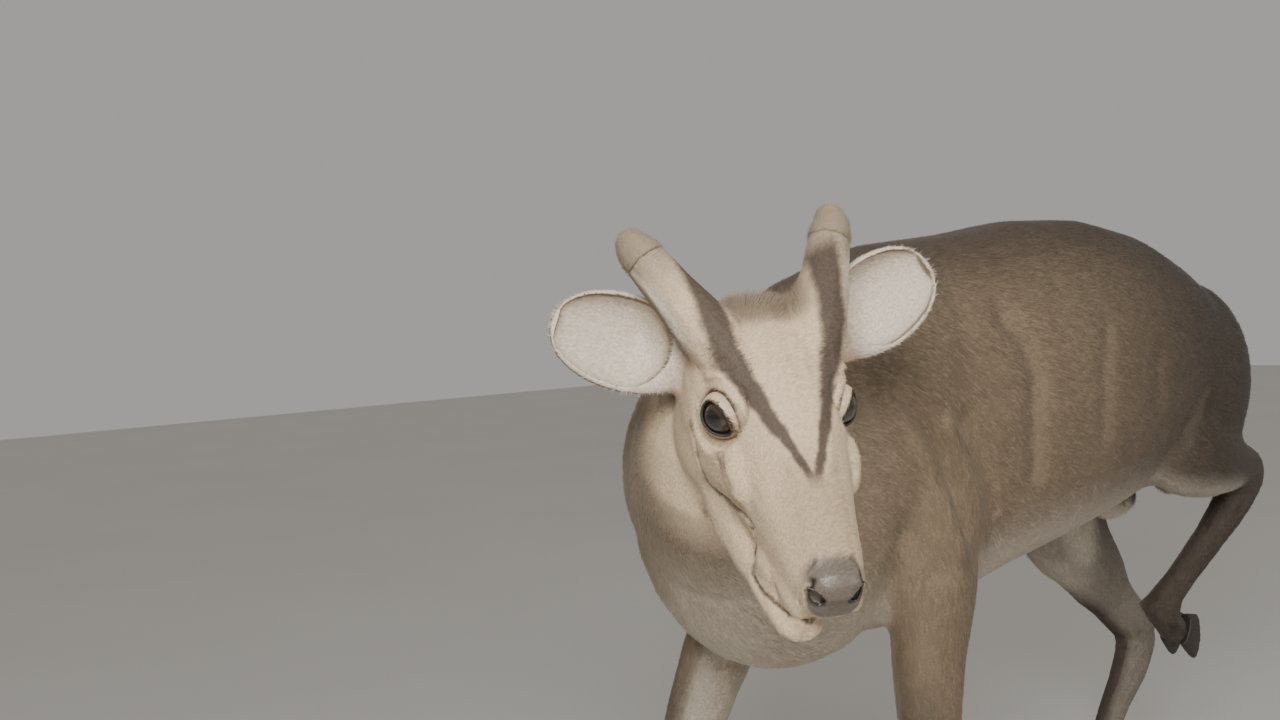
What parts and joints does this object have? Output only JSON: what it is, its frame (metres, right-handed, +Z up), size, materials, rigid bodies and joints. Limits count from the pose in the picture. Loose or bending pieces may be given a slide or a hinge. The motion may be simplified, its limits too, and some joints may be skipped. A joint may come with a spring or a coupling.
{
  "type": "muntjac",
  "caption": "Life-size model of a Reeves' muntjac buck pausing in mid step with one hind leg raised and its head turned to its left",
  "frame": {"origin": "middle of the whole box's underside, on the floor between the forefeet and the standing hind foot", "axes": "+X to the tail end, the trunk faces -X; -Y is the animal's left side, toward which the head is turned; +Z up from the floor"},
  "size_m": [0.7838, 0.3112, 0.5386],
  "materials": {
    "coat": "short flat grey-brown fur",
    "face_fur": "very short ginger-buff fur with dark stripes up the brow",
    "ear_fur": "thin pale fur",
    "leg_fur": "short dark brown fur, pale on the inner side",
    "velvet": "antler in short velvet",
    "horn": "dark hoof horn, satin",
    "eye": "dark wet eye"
  },
  "bodies": {
    "root": {"torso": "coat", "neck": "coat", "tail": "coat", "head": "face_fur", "ear_left": "ear_fur", "ear_right": "ear_fur", "antler_left": "velvet", "antler_right": "velvet", "eye_left": "eye", "eye_right": "eye", "leg_fore_left_upper": "leg_fur", "leg_fore_left_lower": "leg_fur", "hoof_fore_left_a": "horn", "hoof_fore_left_b": "horn", "leg_fore_right_upper": "leg_fur", "leg_fore_right_lower": "leg_fur", "hoof_fore_right_a": "horn", "hoof_fore_right_b": "horn", "leg_hind_right_upper": "leg_fur", "leg_hind_right_lower": "leg_fur", "hoof_hind_right_a": "horn", "hoof_hind_right_b": "horn", "leg_hind_left_upper": "leg_fur", "leg_hind_left_lower": "leg_fur", "hoof_hind_left_a": "horn", "hoof_hind_left_b": "horn"}
  },
  "joints": []
}
